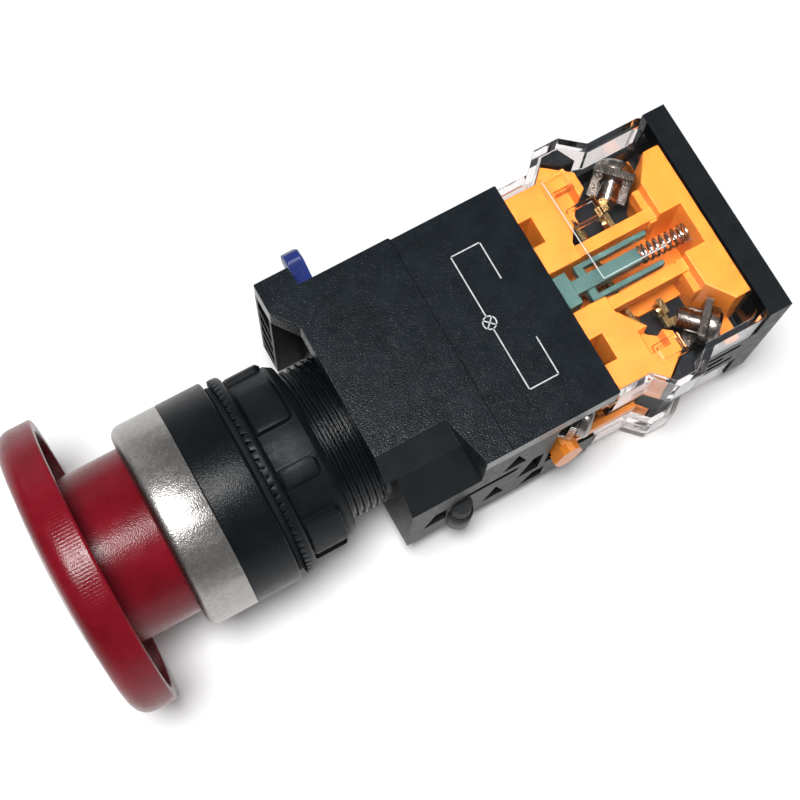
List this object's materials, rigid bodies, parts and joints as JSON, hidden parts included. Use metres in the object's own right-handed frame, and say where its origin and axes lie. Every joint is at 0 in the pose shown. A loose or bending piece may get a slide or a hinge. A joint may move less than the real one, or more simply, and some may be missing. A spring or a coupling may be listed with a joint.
{
  "type": "emergency stop button",
  "caption": "Illuminated mushroom-head emergency stop push button for a panel, with locking nut, lamp block and clip-on contact block.",
  "frame": {"origin": "centre of the panel hole at the front face of the panel, where the rear face of the panel gasket presses", "axes": "+Y along the button axis into the panel, towards the contact block; +Z out of the printed face of the lamp block; +X towards the lamp terminal and the latch"},
  "size_m": [0.0432, 0.0998, 0.0414],
  "materials": {
    "cap_red": "translucent satin plastic",
    "stem_white": "moulded plastic",
    "spring_steel": "drawn wire",
    "bezel_metal": "satin metal",
    "seal_rubber": "moulded rubber",
    "head_black": "satin moulded plastic",
    "ring_black": "satin moulded plastic",
    "nut_black": "satin moulded plastic",
    "base_black": "moulded plastic",
    "cover_black": "fine grained moulded plastic",
    "block_black": "moulded plastic",
    "lever_blue": "moulded plastic",
    "slider_grey": "moulded plastic",
    "brass": "stamped strip",
    "nickel": "nickel plated",
    "lens_red": "tinted lens",
    "board_green": "coated board",
    "component_grey": "moulded body",
    "frame_orange": "moulded plastic",
    "plunger_green": "moulded plastic",
    "plunger_red": "moulded plastic",
    "clear_plastic": "clear moulded plastic"
  },
  "bodies": {
    "root": {"bezel_ring": "bezel_metal", "block_latch": "frame_orange", "contact_block_housing": "block_black", "dropper_resistors": "component_grey", "lamp_block_body": "base_black", "lamp_block_cover": "cover_black", "lamp_circuit_board": "board_green", "lamp_socket_shell": "brass", "lamp_terminal_clamps": "nickel", "lamp_terminal_screws": "nickel", "latch_ring": "spring_steel", "led_lamp_base": "nickel", "led_lamp_lens": "lens_red", "lever_retainer": "base_black", "mounting_base": "base_black", "nc_clear_cover": "clear_plastic", "nc_contact_frame": "frame_orange", "nc_fixed_contacts": "brass", "nc_plunger_spring": "spring_steel", "nc_terminal_clamps": "nickel", "nc_terminal_screws": "nickel", "no_clear_cover": "clear_plastic", "no_contact_frame": "frame_orange", "no_fixed_contacts": "brass", "no_plunger_spring": "spring_steel", "no_terminal_clamps": "nickel", "no_terminal_screws": "nickel", "panel_gasket": "seal_rubber", "rectifier": "component_grey", "return_spring": "spring_steel", "socket_centre_contact": "brass", "stem_seal": "seal_rubber", "threaded_bushing": "head_black"},
    "stem": {"push_stem": "stem_white"},
    "cap": {"mushroom_cap": "cap_red"},
    "slider": {"transfer_slider": "slider_grey"},
    "no_plunger_body": {"no_plunger": "plunger_green", "no_contact_spring": "spring_steel"},
    "nc_plunger_body": {"nc_plunger": "plunger_red", "nc_contact_spring": "spring_steel"},
    "no_bridge_body": {"no_contact_bridge": "brass"},
    "nc_bridge_body": {"nc_contact_bridge": "brass"},
    "clamp_ring_body": {"toothed_clamp_ring": "ring_black"},
    "nut_body": {"locking_nut": "nut_black"},
    "lever_body": {"lock_lever": "lever_blue"}
  },
  "joints": [
    {"name": "push", "type": "slide", "parent": "root", "child": "stem", "axis": [0, 1, 0], "range_m": [0, 0.005], "stiffness_N_per_m": 1500, "springref_m": -0.008, "deforming": ["return_spring"]},
    {"name": "cap_twist", "type": "hinge", "parent": "stem", "child": "cap", "pos_m": [0, -0.02, 0], "axis": [0, 1, 0], "range_deg": [0, 30], "stiffness_Nm_per_rad": 0.05},
    {"name": "slider_slide", "type": "slide", "parent": "root", "child": "slider", "axis": [0, 1, 0], "range_m": [0, 0.005]},
    {"name": "no_plunger_slide", "type": "slide", "parent": "root", "child": "no_plunger_body", "axis": [0, 1, 0], "range_m": [0, 0.005], "deforming": ["no_plunger_spring", "no_contact_spring"]},
    {"name": "nc_plunger_slide", "type": "slide", "parent": "root", "child": "nc_plunger_body", "axis": [0, 1, 0], "range_m": [0, 0.005], "deforming": ["nc_plunger_spring", "nc_contact_spring"]},
    {"name": "no_bridge_slide", "type": "slide", "parent": "root", "child": "no_bridge_body", "axis": [0, 1, 0], "range_m": [0, 0.0025]},
    {"name": "nc_bridge_slide", "type": "slide", "parent": "root", "child": "nc_bridge_body", "axis": [0, 1, 0], "range_m": [0, 0.0025]},
    {"name": "ring_slide", "type": "slide", "parent": "root", "child": "clamp_ring_body", "axis": [0, 1, 0], "range_m": [0, 0.0045]},
    {"name": "nut_turn", "type": "hinge", "parent": "clamp_ring_body", "child": "nut_body", "pos_m": [0, 0.005, 0], "axis": [0, 1, 0], "range_deg": [0, 1620]},
    {"name": "lever_turn", "type": "hinge", "parent": "root", "child": "lever_body", "pos_m": [0, 0.017, 0], "axis": [0, -1, 0], "range_deg": [0, 34]}
  ],
  "couplings": [
    {"joint": "slider_slide", "follows": "push", "ratio": 1},
    {"joint": "no_plunger_slide", "follows": "push", "ratio": 1},
    {"joint": "nc_plunger_slide", "follows": "push", "ratio": 1},
    {"joint": "no_bridge_slide", "follows": "push", "ratio": 0.5},
    {"joint": "nc_bridge_slide", "follows": "push", "ratio": 0.5},
    {"joint": "nut_turn", "follows": "ring_slide", "rad_per_m": 6283.2}
  ]
}
